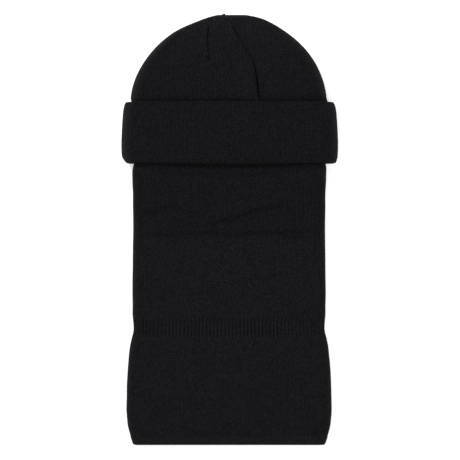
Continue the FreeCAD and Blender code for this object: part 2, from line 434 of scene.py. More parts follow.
def newPiece(name, columns, rows, spot, cloth, centre, merge=0.00002):
    # a grid of knit laid onto its place; spot gives a place and cloth a UV, both from two shares
    bm = bmesh.new()
    uv = bm.loops.layers.uv.new("cloth")
    bmesh.ops.create_grid(bm, x_segments=columns, y_segments=rows, size=1, calc_uvs=True)
    unrolled = []
    bm.verts.index_update()
    for vert in bm.verts:
        a, b = (vert.co.x + 1) / 2, (vert.co.y + 1) / 2
        vert.co = spot(a, b)
        unrolled.append(cloth(a, b, vert.co))
    for face in bm.faces:
        for loop in face.loops:
            loop[uv].uv = unrolled[loop.vert.index]
    bmesh.ops.remove_doubles(bm, verts=bm.verts, dist=merge)
    bmesh.ops.recalc_face_normals(bm, faces=bm.faces)
    outward = sum(f.normal.dot(f.calc_center_median() - centre) * f.calc_area() for f in bm.faces)
    if outward < 0:
        bmesh.ops.reverse_faces(bm, faces=bm.faces)
    return finishMesh(name, bm)


def addObject(name, data):
    made = bpy.data.objects.new(name, data)
    scene.collection.objects.link(made)
    return made


def finishMesh(name, bm):
    mesh = bpy.data.meshes.new(name)
    bm.to_mesh(mesh)
    bm.free()
    return addObject(name, mesh)


def thicken(piece, thickness):
    # gives a layer its thickness inwards, and keeps the result as the piece's own mesh
    wall = piece.modifiers.new("knit", "SOLIDIFY")
    wall.thickness = thickness * mm
    wall.offset = -1
    wall.use_even_offset = False
    graph = bpy.context.evaluated_depsgraph_get()
    piece.data = bpy.data.meshes.new_from_object(piece.evaluated_get(graph))
    piece.modifiers.clear()


sharpAngle = 60


def dress(piece, slotName):
    piece.data.polygons.foreach_set("use_smooth", [True] * len(piece.data.polygons))
    piece.data.set_sharp_from_angle(angle=radians(sharpAngle))
    piece.data.materials.clear()
    piece.data.materials.append(finishes[slotName])
    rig.slot(piece, slotName)


# the camera looks straight down, and "frame" is how much it sees at the height of "plane"
view = {"distance": 2.5, "frame": 0.4945, "plane": 0.010, "sensor": 36}
camera = bpy.data.cameras.new("camera")
camera.sensor_width = view["sensor"]
camera.lens = view["sensor"] * (view["distance"] - view["plane"]) / view["frame"]
cameraObject = addObject("camera", camera)
cameraObject.location = (0, 0, view["distance"])
scene.camera = cameraObject
scene.view_settings.view_transform = "Standard"

skyStrength = 0.62
lamps = {
    "windowLight": {"place": (-0.85, 1.22, 1.2), "size": 0.7, "power": 27},
    "fillLight": {"place": (0.9, -0.5, 1.7), "size": 1.8, "power": 12},
}
for lampName, lamp in lamps.items():
    light = bpy.data.lights.new(lampName, "AREA")
    light.shape = "DISK"
    light.size = lamp["size"]
    light.energy = lamp["power"]
    lampObject = addObject(lampName, light)
    lampObject.location = lamp["place"]
    lampObject.rotation_euler = (-Vector(lamp["place"])).to_track_quat("-Z", "Y").to_euler()
world = bpy.data.worlds.new("studio")
world.use_nodes = True
sky = world.node_tree.nodes["Background"].inputs
sky["Color"].default_value = (1, 1, 1, 1)
sky["Strength"].default_value = skyStrength
scene.world = world
print("camera and light ready")


def arithmetic(operation, swapped=False):
    def method(self, other):
        return self.graph.maths(operation, *((other, self) if swapped else (self, other)))
    return method


class Flow:  # one socket's value, with arithmetic
    def __init__(self, graph, socket):
        self.graph = graph
        self.socket = socket

    def __abs__(self):
        return self.graph.maths("ABSOLUTE", self)

    __add__, __radd__ = arithmetic("ADD"), arithmetic("ADD", True)
    __sub__, __rsub__ = arithmetic("SUBTRACT"), arithmetic("SUBTRACT", True)
    __mul__, __rmul__ = arithmetic("MULTIPLY"), arithmetic("MULTIPLY", True)
    __truediv__ = arithmetic("DIVIDE")
    __pow__ = arithmetic("POWER")


class Finish:  # one material's nodes
    def __init__(self, name):
        self.material = bpy.data.materials.new(name)
        self.material.use_nodes = True
        self.tree = self.material.node_tree
        self.tree.nodes.clear()

    def node(self, kind, settings, inputs):
        made = self.tree.nodes.new(kind)
        for key, value in settings.items():
            setattr(made, key, value)
        for key, value in inputs.items():
            if isinstance(value, Flow):
                self.tree.links.new(value.socket, made.inputs[key])
            else:
                made.inputs[key].default_value = value
        return made

    def flow(self, kind, settings, inputs, output=0):
        return Flow(self, self.node(kind, settings, inputs).outputs[output])

    def maths(self, operation, *values):
        return self.flow("ShaderNodeMath", {"operation": operation}, dict(enumerate(values)))

    def mixColour(self, share, low, high):
        settings = {"data_type": "RGBA", "blend_type": "MIX", "clamp_factor": True}
        return self.flow("ShaderNodeMix", settings, {0: share, 6: low, 7: high}, 2)

    def objectPlace(self):
        return self.flow("ShaderNodeTexCoord", {}, {}, 3)

    def clothPlace(self):
        # the place on the flat knit, across and along it
        cloth = self.flow("ShaderNodeUVMap", {"uv_map": "cloth"}, {})
        parts = self.node("ShaderNodeSeparateXYZ", {}, {0: cloth})
        return cloth, Flow(self, parts.outputs[0]), Flow(self, parts.outputs[1])

    def cloud(self, place, scale, detail):
        return self.flow("ShaderNodeTexNoise", {}, {"Vector": place, "Scale": scale, "Detail": detail})

    def sawtooth(self, value):
        # 0 in the middle of each unit and 1 at its ends
        return abs(self.maths("FRACT", value) - 0.5) * 2


blueBlack = (1.0, 1.0, 1.17)


def shade(value, tint=blueBlack):
    return (value * tint[0], value * tint[1], value * tint[2], 1)


# stitch sizes in mm, how much painted shade darkens the valleys between wales, how far each stitch's legs lean,
# the knit's colour, the depth of its relief in mm, and how speckled it is
knits = {
    "fine_rib_knit": {
        "wale": 2.15, "course": 1.7, "valley": 1.0, "lean": 0.9,
        "base": 0.0057, "depth": 0.75, "speckle": 0.85,
    },
    "jersey_knit": {
        "wale": 2.15, "course": 1.6, "valley": 0.6, "lean": 1.0,
        "base": 0.0054, "depth": 0.36, "speckle": 0.85,
    },
    "wide_rib_knit": {
        "wale": 2.05, "course": 1.6, "valley": 0.25, "lean": 0.9,
        "base": 0.0054, "depth": 0.25, "speckle": 0.8,
    },
    "welt_knit": {
        "wale": 2.15, "course": 1.35, "valley": 0.5, "lean": 0.8,
        "base": 0.0066, "depth": 0.4, "speckle": 0.8,
    },
}
knit = {  # noise scales and details, and how much each one counts
    "waver": (130.0, 2.0), "waleWaver": 0.5, "courseWaver": 0.9,
    "melange": (1300.0, 2.0), "melangeLight": 5.2,
    "patches": (60.0, 2.0), "patchLight": 0.22,
    "fibre": (2600.0, 3.0), "fibreHeight": 0.5, "fibreRoughness": 0.12,
    "cellLight": 0.8, "cellHeight": 0.25, "darkest": 0.25,
    # the stitch gap is painted shade: it darkens the colour between stitch rows
    "notchWidth": 3.2, "notchDepth": 0.22, "gap": 0.28,
    # painted light on rib crests and painted shade in rib grooves
    "ribLight": 1.12, "ribDark": 0.75,
    "black": 0.0006, "range": 2.6,
}
yarn = {"roughness": 0.9, "sheen": 0.03, "sheenRoughness": 0.45, "sheenTint": 0.8, "specular": 0.06}


def surface(finish, colour, roughness, height, distance):
    bump = finish.flow("ShaderNodeBump", {}, {"Strength": 1.0, "Distance": distance * mm, "Height": height})
    shader = finish.flow("ShaderNodeBsdfPrincipled", {}, {
        "Base Color": colour, "Roughness": roughness, "Normal": bump,
        "Specular IOR Level": yarn["specular"], "Sheen Weight": yarn["sheen"],
        "Sheen Roughness": yarn["sheenRoughness"], "Sheen Tint": shade(yarn["sheenTint"]),
    })
    finish.node("ShaderNodeOutputMaterial", {}, {"Surface": shader})
    return finish.material


def knitFinish(name, look):
    finish = Finish(name)
    cloth, across, along = finish.clothPlace()
    objectPlace = finish.objectPlace()
    waver = finish.cloud(objectPlace, *knit["waver"])
    wale = across / (look["wale"] * mm) + (waver - 0.5) * knit["waleWaver"]
    course = along / (look["course"] * mm) + (waver - 0.5) * knit["courseWaver"]
    leg = finish.sawtooth(wale)  # 0 along a wale's middle, 1 between wales
    column = 1 - leg ** 2.6
    notch = finish.maths("MAXIMUM", 1 - leg * knit["notchWidth"], 0) * knit["notchDepth"]
    tilt = course + leg * look["lean"] * 0.5
    stitch = 1 - finish.sawtooth(tilt) ** 3
    cell = finish.flow("ShaderNodeCombineXYZ", {}, {
        0: finish.maths("FLOOR", wale), 1: finish.maths("FLOOR", tilt),
    })
    uneven = finish.flow("ShaderNodeTexWhiteNoise", {"noise_dimensions": "2D"}, {"Vector": cell})
    melange = finish.cloud(objectPlace, *knit["melange"])
    patches = finish.cloud(objectPlace, *knit["patches"])
    fibre = finish.cloud(objectPlace, *knit["fibre"])
    height = column * (0.5 + 0.5 * stitch) - notch
    height = height + (uneven - 0.5) * knit["cellHeight"] + (fibre - 0.5) * knit["fibreHeight"]
    light = (uneven - 0.5) * look["speckle"] * knit["cellLight"]
    light = light + (melange - 0.5) * look["speckle"] * knit["melangeLight"]
    light = light + (patches - 0.5) * knit["patchLight"]
    brightness = finish.maths("MAXIMUM", 1 + light, knit["darkest"])
    # painted shade: the colour is darkened in the valleys between wales and between stitch rows
    shadowed = (1 - look["valley"] * leg ** 3) * (1 - knit["gap"] + knit["gap"] * stitch)
    # painted shade in the rib grooves, painted light on the rib crests
    if "ribbed" in look:
        groove = finish.sawtooth(across / (look["ribbed"] * mm))
        shadowed = shadowed * (knit["ribLight"] - knit["ribDark"] * groove ** 3)
    # the knit's own tone times the painted shade
    toneWithPaintedShade = brightness * shadowed
    colour = finish.mixColour(toneWithPaintedShade * 0.5, shade(knit["black"]), shade(look["base"] * knit["range"]))
    roughness = yarn["roughness"] + (fibre - 0.5) * knit["fibreRoughness"]
    return surface(finish, colour, roughness, height, look["depth"])


ribs = {
    "pitch": 4.1, "depth": 1.35, "sharpness": 2.2, "draw": 0.1, "fade": 2.2, "perRib": 8, "rows": 18,
    "knit": 2.2, "takeUp": 1.4,
}
ribCount = round(tubeGirth / ribs["pitch"])
knits["wide_rib_knit"]["ribbed"] = tubeGirth / ribCount
finishes = {name: knitFinish(name, look) for name, look in knits.items()}


seamYarn = {
    "base": 0.0075, "dark": 0.45, "light": 1.6,
    "twist": 1600.0, "ply": 560.0, "roughness": 0.8, "depth": 0.18,
}


def yarnFinish(name):
    finish = Finish(name)
    objectPlace = finish.objectPlace()
    twist = finish.cloud(objectPlace, seamYarn["twist"], 3.0)
    ply = finish.flow("ShaderNodeTexWave", {"wave_type": "BANDS", "bands_direction": "DIAGONAL"}, {
        "Vector": objectPlace, "Scale": seamYarn["ply"], "Distortion": 1.5, "Detail": 1.0,
    }, 1)
    dark, light = shade(seamYarn["base"] * seamYarn["dark"]), shade(seamYarn["base"] * seamYarn["light"])
    colour = finish.mixColour(twist * 0.6 + ply * 0.4, dark, light)
    roughness = seamYarn["roughness"] + twist * 0.15
    return surface(finish, colour, roughness, ply * 0.7 + twist * 0.3, seamYarn["depth"])


finishes["seam_yarn"] = yarnFinish("seam_yarn")

tape = {
    "thread": 0.5, "soil": 220.0, "depth": 0.08,
    "dark": (0.55, 0.539, 0.517), "light": (0.78, 0.7722, 0.7488),
}


def labelFinish(name):
    finish = Finish(name)
    cloth, across, along = finish.clothPlace()
    warp = finish.sawtooth(across / (tape["thread"] * mm))
    weft = finish.sawtooth(along / (tape["thread"] * mm))
    soil = finish.cloud(cloth, tape["soil"], 3.0)
    weave = warp * weft
    colour = finish.mixColour(weave * 0.3 + soil * 0.4, (*tape["dark"], 1), (*tape["light"], 1))
    return surface(finish, colour, 0.6 + weave * 0.2, weave, tape["depth"])


finishes["woven_label"] = labelFinish("woven_label")
print("finishes ready", sorted(finishes))


def sleeve(name, low, high, finishName, rows):
    # a closed stretch of the tube between two levels
    def spot(a, b):
        return tubeSpot(a, low + (high - low) * b)

    def cloth(a, b, place):
        return a * tubeGirth * mm, (low + (high - low) * b) * mm
    centre = point(0, (low + high) / 2, tubeDepth / 2)
    piece = newPiece(name, tubeColumns, rows, spot, cloth, centre)
    thicken(piece, tube["knit"])
    dress(piece, finishName)
    return piece


foldReach = 7.0  # how far the packing fold's bend runs past each hinge
foldTop = folds["fold_upper"] + foldReach
foldMiddle = (folds["fold_upper"] + folds["fold_lower"]) / 2
foldBottom = folds["fold_lower"] - foldReach
neckSleeve = sleeve("neckSleeve", bandHigh, foldBottom, "jersey_knit", 46)
bibSleeve = sleeve("bibSleeve", hemTop, bandLow, "jersey_knit", 66)
foldUpper = sleeve("foldUpper", foldMiddle, foldTop, "fine_rib_knit", 12)
foldLower = sleeve("foldLower", foldBottom, foldMiddle, "jersey_knit", 12)
print("neck, fold and bib made")


def ribSpot(a, b):
    up = bandLow + (bandHigh - bandLow) * b
    ends = ease(bandLow, bandLow + ribs["fade"], up) * (1 - ease(bandHigh - ribs["fade"], bandHigh, up))
    phase = a * ribCount
    wave = abs((phase % 1) - 0.5) * 2  # 0 along a rib's middle, 1 in the groove
    return tubeSpot(a, up, ribs["depth"] * ends * (wave ** ribs["sharpness"] + ribs["draw"]))


def ribCloth(a, b, place):
    return a * tubeGirth * mm, (bandLow + (bandHigh - bandLow) * b) * mm


ribBand = newPiece(
    "ribBand", ribCount * ribs["perRib"], ribs["rows"], ribSpot, ribCloth,
    point(0, (bandLow + bandHigh) / 2, tubeDepth / 2),
)
thicken(ribBand, ribs["knit"])
dress(ribBand, "wide_rib_knit")
print("rib band made")


ringMerge = 0.000005


def profileRing(name, profile, spotAt, cloth, centre, columns, finishName):
    # a closed hoop: profile is a loop of (inset, up) points, swept all the way round
    loop = profile + profile[:1]
    lengths = [0.0]
    for (a, b), (c, d) in zip(loop, loop[1:]):
        lengths.append(lengths[-1] + hypot(c - a, d - b))
    rows = len(loop) - 1

    def spot(a, b):
        inset, up = loop[round(b * rows)]
        return spotAt(a, up, inset)

    def unrolled(a, b, place):
        return a * cloth * mm, (profile[0][1] + lengths[round(b * rows)]) * mm
    piece = newPiece(name, columns, rows, spot, unrolled, centre, ringMerge)
    bm = bmesh.new()
    bm.from_mesh(piece.data)
    bmesh.ops.recalc_face_normals(bm, faces=bm.faces)
    if bm.calc_volume(signed=True) < 0:
        bmesh.ops.reverse_faces(bm, faces=bm.faces)
    bm.to_mesh(piece.data)
    bm.free()
    dress(piece, finishName)
    return piece


def roundedLoop(low, high, outer, inner, lowRound, highRound, step, steps=5):
    # a wall's cross-section from its low outer end, up its outside, over and down its inside
    bottom, top = low + lowRound, high - highRound
    count = max(2, round((top - bottom) / step))
    turns = [pi * i / (steps + 1) for i in range(1, steps + 1)]
    across = [(inner - outer) * (1 - cos(turn)) / 2 for turn in turns]
    loop = [(outer, bottom + (top - bottom) * i / count) for i in range(count + 1)]
    loop += [(outer + shift, top + highRound * sin(turn)) for shift, turn in zip(across, turns)]
    loop += [(inner, top - (top - bottom) * i / count) for i in range(count + 1)]
    loop += [(inner - shift, bottom - lowRound * sin(turn)) for shift, turn in zip(across, turns)]
    return loop


hem = {"stand": -0.3, "wall": 2.5, "lip": 1.7, "topRound": 0.8, "step": 1.3, "drop": 0.4}
hemLoop = roundedLoop(
    -hem["drop"], hemTop, hem["stand"], hem["wall"], hem["lip"], hem["topRound"], hem["step"],
)
bibHem = profileRing(
    "bibHem", hemLoop, tubeSpot, tubeGirth, point(0, hemTop / 2, tubeDepth / 2), tubeColumns, "welt_knit",
)
print("hem made")


grainFlatness = 0.7


def grains(name, places, size, finishName="seam_yarn"):
    # short stitches: each place is a middle, the way it runs, and the way it faces
    length, width = size["length"], size["width"]
    bm = bmesh.new()
    for middle, along, facing in places:
        made = bmesh.ops.create_uvsphere(bm, u_segments=6, v_segments=5, radius=0.5)["verts"]
        along = along.normalized()
        facing = (facing - along * facing.dot(along)).normalized()
        side = facing.cross(along)
        for vert in made:
            x, y, z = vert.co
            flatter = facing * y * width * grainFlatness
            vert.co = middle + (along * z * length + side * x * width + flatter) * mm
    piece = finishMesh(name, bm)
    dress(piece, finishName)
    return piece


probeShare, probeUp = 0.002, 1.0
leastHeight = 0.0003


def surfaceGrain(spotAt, share, up, lean, lift):
    # a stitch on a surface given by share and up, leaning over along it, lifted off by a little
    here = spotAt(share, up)
    right = spotAt(share + probeShare, up) - here
    above = spotAt(share, up + probeUp) - here
    facing = right.cross(above)
    along = above.normalized() * cos(lean) + right.normalized() * sin(lean)
    middle = here + facing.normalized() * lift * mm
    middle.z = max(middle.z, leastHeight)
    return middle, along, facing




def stitchRound(name, stitching, girthThere, spotAt, up, finishName):
    # stitches all the way round at one level
    count = round(girthThere / stitching["pitch"])
    places = [
        surfaceGrain(spotAt, i / count, up - stitching["drop"], stitching["lean"], stitching["lift"])
        for i in range(count)
    ]
    return grains(name, places, stitching, finishName)


hemStitching = {"pitch": 4.4, "length": 3.0, "width": 0.75, "lean": 1.15, "drop": 1.4, "lift": 0.32}
hemStitches = stitchRound("hemStitches", hemStitching, tubeGirth, tubeSpot, hemTop, "seam_yarn")
print("hem stitches made")

# the hat: its wall behind the cuff, and a domed crown with a folded pleat and darts
crown = {
    "knit": 1.4, "rows": 112, "wallShare": 0.42, "merge": 0.00001, "leastFlat": 0.35,
    "wallEase": 1.2, "cut": 1.15, "sidePower": 1.85, "topPower": 1.93,
    "nose": 3.4,  # the last stretch, over which the front and back close up
    "raise": 0.95, "raiseFrom": crownTop - 10,
    "loosenFrom": cuffHigh - 16, "looseAt": cuffHigh - 2,  # pressed flat below, loose above
    "waves": [(0.5, 30, 9.3), (0.2, 12, 2.7)],
    "topFade": crownTop - 6,
}
pleat = {
    "radius": 1.2, "gap": 0.25, "underlap": 8.0, "lift": 22.0, "pressed": 0.2, "gapPressed": 0.4,
    "line": [(crownLow, 34.6), (370, 33.4), (377.5, 30.5), (387, 29.4), (397.5, 28.2), (408, 25.4),
             (416, 21.8), (425, 15.6), (434.5, 9.4), (445, 3.4), (452, -1.4), (457, -5.6), (crownTop, -6.2)],
    "slope": 0.9, "slopeWidth": 7.0, "groove": 2.8, "grooveWidth": 2.3, "grooveShift": 0.2,
    "grooveEnds": (444, 451), "landing": 0.6, "narrowBelow": 40,
}
dart = {
    "line": [(409, -20.6), (417.5, -22.1), (428, -23.9), (445, -24.2), (452, -23.8), (crownTop, -23.5)],
    "starts": (409, 416), "ends": (445, 453),
    "ridge": 1.8, "ridgeFrom": -9, "ridgeTop": -1.3, "groove": 2.3, "grooveWidth": 1.1, "grooveShift": 0.4,
    "crowdWithin": 6, "crowdBetween": (33, 48), "crowdShares": (0.3, 0.6),
}
backDart = {
    "line": [(crownLow, 26), (411, 25), (449.8, 20), (crownTop, 6)], "starts": (411, 424),
    "ridge": 0.8, "width": 1.8, "wave": (0.12, 9, 4.4),
}
edgeDip = {"depth": 2.4, "width": 2.8, "above": 0.3}
crownDents = [  # soft dents and rises beside the darts
    {"x": -22.7, "up": 412.6, "wide": 2.4, "tall": 3.0, "rise": -2.4},
    {"x": -10.8, "up": 433.5, "wide": 7.5, "tall": 5.5, "rise": -2.2},
    {"x": -0.8, "up": 417.5, "wide": 4.0, "tall": 6.5, "rise": -1.4},
    {"x": -13.0, "up": 413.0, "wide": 5.0, "tall": 5.0, "rise": 0.9},
    {"x": 11.0, "up": 446.0, "wide": 5.0, "tall": 8.0, "rise": -0.7},
]
hatHalfWidth = reach("hat_body") - 3.0
crownHeight = crownTop - cuffHigh


def crownHalf(up):
    # straight in the wall, and a superellipse above it that stops just short of closing
    if up < cuffHigh:
        return hatHalfWidth + crown["wallEase"] * (1 - ease(hatLow, cuffHigh, up))
    share = (up - cuffHigh) / (crownHeight + crown["cut"])
    return hatHalfWidth * (1 - share ** crown["sidePower"]) ** (1 / crown["topPower"])


crownUnder = smoothCurve([
    (hatLow, hatFloor), (cuffHigh - 4, hatFloor), (cuffHigh + 18, 0.1), (451, 0.1), (457.5, 0.7),
    (crownTop, 1.6),
])
crownOver = smoothCurve([
    (hatLow, hatCeiling - 0.4), (cuffHigh - 14, hatCeiling - 0.4), (cuffHigh, hatCeiling),
    (391, hatCeiling + 0.4), (411.5, hatCeiling - 0.6), (429.7, hatCeiling - 2.6),
    (441.4, hatCeiling - 5.2), (450, hatCeiling - 8), (455, hatCeiling - 10.2),
    (459, hatCeiling - 12.4), (crownTop, hatCeiling - 14.2),
])
pleatLine = smoothCurve(pleat["line"])
dartLine = smoothCurve(dart["line"])
backDartLine = smoothCurve(backDart["line"])
# columns in each stretch of a row, from the left edge over the pleat to the right edge
steps = {"frontLeft": 80, "roll": 6, "under": 5, "lowRoll": 3, "frontRight": 44}
frontSteps = sum(steps.values())
arcSteps = 16


def crownFrontRelief(x, up, left):
    level = swells(x, up, crown["waves"]) * ease(crown["loosenFrom"], crown["looseAt"], up)
    level -= edgeDip["depth"] * hill(up - cuffHigh - edgeDip["above"], edgeDip["width"])
    if up > cuffHigh:
        away = x - dartLine(up)
        seam = ease(*dart["starts"], up) * (1 - ease(*dart["ends"], up))
        ridge = ease(dart["ridgeFrom"], dart["ridgeTop"], away) * (1 - ease(dart["ridgeTop"], 0.0, away))
        groove = hill(away - dart["grooveShift"], dart["grooveWidth"])
        level += seam * (dart["ridge"] * ridge - dart["groove"] * groove)
        inside = 1 - ease(crown["topFade"], crownTop, up)
        for dent in crownDents:
            away = hypot((x - dent["x"]) / dent["wide"], (up - dent["up"]) / dent["tall"])
            level += dent["rise"] * inside * hill(away, 1.0)
    if not left:
        beyond = x - pleatLine(up)
        slope = pleat["slope"] * hill(beyond, pleat["slopeWidth"])
        groove = pleat["groove"] * hill(beyond - pleat["grooveShift"], pleat["grooveWidth"])
        groove *= 1 - ease(*pleat["grooveEnds"], up)
        level -= (slope + groove) * ease(cuffHigh - 2, cuffHigh + 8, up)
    return level


def crownBackRelief(x, up):
    level = 0
    for side in (-1, 1):
        away = x - side * backDartLine(up)
        ends = ease(*backDart["starts"], up) * (1 - ease(crown["topFade"], crownTop, up))
        level += backDart["ridge"] * hill(away, backDart["width"]) * ends
    return level + abs(swells(x, up, [backDart["wave"]]))


def leftColumns(up, flat, rim):
    # places across the front's left part, crowded together at the dart
    shares = [i / steps["frontLeft"] for i in range(steps["frontLeft"])]
    even = [-flat + (rim + flat) * share for share in shares]
    crowd = ease(*dart["crowdBetween"], flat)
    if crowd == 0:
        return even
    near, far = dart["crowdShares"]
    low, high = dartLine(up) - dart["crowdWithin"], dartLine(up) + dart["crowdWithin"]
    crowded = smoothCurve([(0, -flat), (near, low), (far, high), (1, rim)])
    return [x + (crowded(share) - x) * crowd for x, share in zip(even, shares)]


def crownSection(up):
    # the places round the hat at one level: the front over the pleat, right side, back, left side
    half, under, over = crownHalf(up), crownUnder(up), crownOver(up)
    loose = ease(crown["loosenFrom"], crown["looseAt"], up)
    closing = sqrt(max(0.0, 1 - max(0.0, (up - crownTop + crown["nose"]) / crown["nose"]) ** 2))
    middle = (under + over) / 2
    radius = (over - under) / 2
    flat = max(half - radius, half * crown["leastFlat"])
    bulge = half - flat
    fold = pleatLine(up)
    shrink = min(1.0, half / pleat["narrowBelow"]) * closing
    bend = pleat["radius"] * (pleat["pressed"] + (1 - pleat["pressed"]) * loose)
    lap = pleat["underlap"] * shrink
    top = 2 * bend + 2 * pleat["gap"] * (pleat["gapPressed"] + (1 - pleat["gapPressed"]) * loose)
    rim = fold - bend

    def front(x, lifted, left):
        return x, over + lifted + crownFrontRelief(x, up, left)

    spots = [front(x, top * ease(-pleat["lift"], 0, x - fold), True) for x in leftColumns(up, flat, rim)]
    edge = front(rim, top * ease(-pleat["lift"], 0, -bend), True)
    for i in range(steps["roll"]):
        turn = pi * i / steps["roll"]
        spots.append((edge[0] + bend * shrink * sin(turn), edge[1] - bend * (1 - cos(turn))))
    base = edge[1] - 2 * bend
    for i in range(steps["under"]):
        spots.append((edge[0] - lap * i / steps["under"], base))
    start = edge[0] - lap
    landing = front(start, 0, False)
    for i in range(steps["lowRoll"]):
        turn = pi * i / steps["lowRoll"]
        share = (1 - cos(turn)) / 2
        x = start - pleat["landing"] * shrink * sin(turn)
        spots.append((x, base + (landing[1] - base) * share))
    for i in range(steps["frontRight"]):
        spots.append(front(start + (flat - start) * i / steps["frontRight"], 0, False))
    rightEdge, leftEdge = front(flat, 0, False)[1], front(-flat, 0, True)[1]
    for i in range(arcSteps + 1):
        turn = pi * i / arcSteps
        z = middle + radius * cos(turn)
        if i == 0:
            z = rightEdge
        elif i < arcSteps / 2:
            z += (rightEdge - over) * cos(turn) ** 2
        spots.append((flat + bulge * sin(turn), z))
    for i in range(1, frontSteps + 1):
        x = flat - 2 * flat * i / frontSteps
        spots.append((x, under + crownBackRelief(x, up)))
    for i in range(1, arcSteps):
        turn = pi * i / arcSteps
        z = middle - radius * cos(turn)
        if i > arcSteps / 2:
            z += (leftEdge - over) * cos(turn) ** 2
        spots.append((-flat - bulge * sin(turn), z))
    spots.append(spots[0])
    return [(x + sideways(up), middle + (z - middle) * closing) for x, z in spots]


def crownRowLevel(b):
    # rows crowd together towards the top, where the outline turns over
    wall = crown["wallShare"]
    if b < wall:
        return hatLow + (cuffHigh - hatLow) * b / wall
    return cuffHigh + crownHeight * sin((b - wall) / (1 - wall) * pi / 2)


crownColumns = frontSteps * 2 + arcSteps * 2
crownRows = [crownSection(crownRowLevel(i / crown["rows"])) for i in range(crown["rows"] + 1)]
lastRow = crownRows[-1]
mirror = frontSteps + arcSteps // 2
for column in range(mirror + 1, crownColumns - arcSteps // 2 + 1):
    lastRow[column] = lastRow[(2 * mirror - column) % crownColumns]  # front and back meet at the top


def crownSpot(a, b):
    x, z = crownRows[round(b * crown["rows"])][round(a * crownColumns)]
    up = crownRowLevel(b)
    return point(x, up + crown["raise"] * ease(crown["raiseFrom"], crownTop, up), z)


# how the wales lean into the dart and the pleat, where knit was taken out
crownLean = {"dart": 8.0, "dartFrom": 408, "dartWidth": 14, "pleat": 26.0, "pleatWidth": 70, "pleatStart": 7}
backStart = 300  # the back's knit is unrolled beyond the front's
arcKnit = 1.5


def crownCloth(a, b, place):
    column = round(a * crownColumns)
    up = crownRowLevel(b)
    x = crownRows[round(b * crown["rows"])][column][0] - sideways(up)
    if column > frontSteps + arcSteps + frontSteps:
        u = x - (crownColumns - column) * arcKnit
    elif column > frontSteps + arcSteps:
        u = backStart - x
    elif column > frontSteps:
        u = x + (column - frontSteps) * arcKnit
    elif column > steps["frontLeft"] + steps["roll"]:
        away = max(x - pleatLine(up), 0)
        taken = crownLean["pleat"] * ease(cuffHigh - 10, crownTop + 20, up)
        u = x + crownLean["pleatStart"] + taken * exp(-away / crownLean["pleatWidth"])
    else:
        away = x - dartLine(up)
        taken = crownLean["dart"] * ease(crownLean["dartFrom"], crownTop, up)
        u = x + (taken if away > 0 else -taken) * exp(-abs(away) / crownLean["dartWidth"])
    return (u + 200) * mm, up * mm


crownShell = newPiece(
    "crownShell", crownColumns, crown["rows"], crownSpot, crownCloth, point(0, 380, 11), crown["merge"],
)
thicken(crownShell, crown["knit"])
dress(crownShell, "fine_rib_knit")
print("crown made")

upwards, downwards = Vector((0, 0, 1)), Vector((0, 0, -1))
dartSewing = {
    "count": 14, "start": 412, "pitch": 2.9, "length": 2.6, "width": 0.6, "lean": 0.55, "apart": 0.75,
    "lift": 0.35,
}
places = []
for i in range(dartSewing["count"]):
    up = dartSewing["start"] + i * dartSewing["pitch"]
    x = dartLine(up)
    z = crownOver(up) + crownFrontRelief(x, up, True) + dartSewing["lift"]
    for side in (-1, 1):
        middle = point(x + side * dartSewing["apart"] + sideways(up), up, z)
        places.append((middle, Vector((-side * sin(dartSewing["lean"]), 1, 0)), upwards))
dartStitches = grains("dartStitches", places, dartSewing)

backSewing = {
    "count": 13, "start": 413, "pitch": 2.9, "length": 2.6, "width": 0.6, "lean": 0.5, "lift": 0.05,
}
places = []
for side in (-1, 1):
    for i in range(backSewing["count"]):
        up = backSewing["start"] + i * backSewing["pitch"]
        x = side * backDartLine(up)
        z = crownUnder(up) + crownBackRelief(x, up) + backSewing["lift"]
        lean = Vector((side * backSewing["lean"] * (1 if i % 2 else -1), 1, 0))
        places.append((point(x + sideways(up), up, z), lean, downwards))
backDartStitches = grains("backDartStitches", places, backSewing)

tacking = {"half": 9.5, "count": 8, "length": 2.6, "width": 0.8, "lift": 0.7, "lean": 0.25}
places = []
for i in range(tacking["count"]):
    x = -tacking["half"] + 2 * tacking["half"] * i / (tacking["count"] - 1)
    z = (crownOver(crownTop) + crownUnder(crownTop)) / 2
    middle = point(x + sideways(crownTop), crownTop + tacking["lift"], z)
    places.append((middle, Vector((tacking["lean"], 0, 1)), Vector((0, 1, 0))))
closingTack = grains("closingTack", places, tacking)
print("dart and closing stitches made")

# the cuff: one hoop round the hat, rolled at its lower edge
cuff = {
    "wall": 2.7, "step": 1.6, "roll": 1.4, "topRound": 1.0, "lip": 2.0, "lipHeight": 4,
    "innerTuck": 0.65, "sideTuck": 0.3, "backTuck": 0.6,
    "waves": [(0.45, 32, 6.2), (0.18, 12, 8.8)],
    "swell": 0.5, "swellSize": (70, 16), "swellUp": 22, "sink": 0.35,
    "bow": 1.6, "bowReach": 104, "bowHeight": 26, "bowCurve": 0.5, "bowShift": 0.1,
    "wander": (0.35, 18, 2.2), "wanderHeight": 20,
    "middle": 20, "lean": 1.2, "leanHeight": 9,
}
cuffReach = reach("cuff_turned_layer")
cuffUnder, cuffOver = heights("cuff_turned_layer")
cuffHalf = smoothCurve([
    (cuffLow - 2, cuffReach - 5.6), (cuffLow + 1, cuffReach - 2.6), (cuffLow + 4, cuffReach - 1.1),
    (cuffLow + 8, cuffReach + 0.1), (cuffLow + 20, cuffReach + 0.4), (cuffLow + 36, cuffReach - 0.1),
    (cuffHigh - 12, cuffReach - 1.3), (cuffHigh - 4, cuffReach - 2.5), (cuffHigh - 1, cuffReach - 4.0),
    (cuffHigh, cuffReach - 5.0),
])
